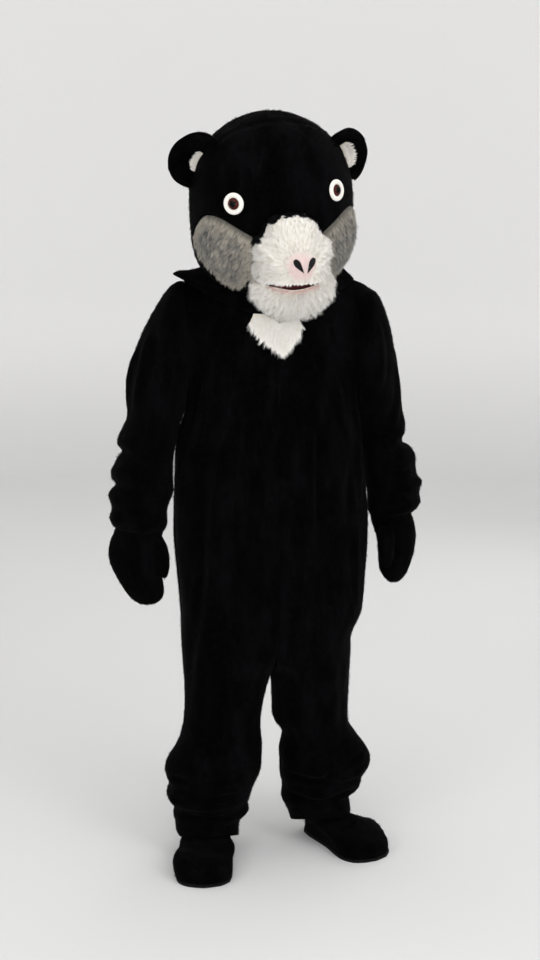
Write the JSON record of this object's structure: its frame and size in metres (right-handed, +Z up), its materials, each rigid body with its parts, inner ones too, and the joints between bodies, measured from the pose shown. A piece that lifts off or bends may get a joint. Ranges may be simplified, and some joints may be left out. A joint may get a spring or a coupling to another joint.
{
  "type": "badger costume",
  "caption": "Full-body hollow fur suit with a rounded animal head, round ears and a short muzzle, mittens and foot covers, in the shape it keeps when worn.",
  "frame": {"origin": "the point between the wearer's shoulders, 1440 mm above the soles, from which the suit hangs", "axes": "+Z up, -Y the way the costume faces, +X towards the wearer's left"},
  "size_m": [0.794, 0.4751, 1.838],
  "materials": {
    "black_plush": "short soft pile with a faint grey nap",
    "white_fur": "long shaggy ivory fur",
    "grey_fur": "mottled grey-brown fur with paler tips",
    "ear_fur": "white fur",
    "pink_plush": "short pale pink pile",
    "black_felt": "matt felt",
    "white_felt": "soft felt ring",
    "mouth_cloth": "dark red cloth",
    "sole_rubber": "matt black sheet",
    "iris_plastic": "clear glossy brown",
    "pupil_plastic": "glossy black"
  },
  "bodies": {
    "root": {"front_right": "black_plush", "back_right": "black_plush", "front_left": "black_plush", "back_left": "black_plush", "sleeve_right": "black_plush", "sleeve_left": "black_plush", "mitten_right": "black_plush", "mitten_left": "black_plush", "foot_upper_right": "black_plush", "foot_sole_right": "sole_rubber", "foot_upper_left": "black_plush", "foot_sole_left": "sole_rubber", "head_crown": "black_plush", "head_back": "black_plush", "throat": "black_plush", "cheek_right": "grey_fur", "cheek_left": "grey_fur", "muzzle_upper": "white_fur", "lower_jaw": "white_fur", "nose_patch": "pink_plush", "nostril_right": "black_felt", "nostril_left": "black_felt", "mouth_lining": "mouth_cloth", "eye_ring_right": "white_felt", "iris_right": "iris_plastic", "pupil_right": "pupil_plastic", "eye_ring_left": "white_felt", "iris_left": "iris_plastic", "pupil_left": "pupil_plastic", "ear_right": "black_plush", "ear_left": "black_plush", "ear_fur_right": "ear_fur", "ear_fur_left": "ear_fur", "neck_drape": "black_plush", "bib": "white_fur"}
  },
  "joints": []
}
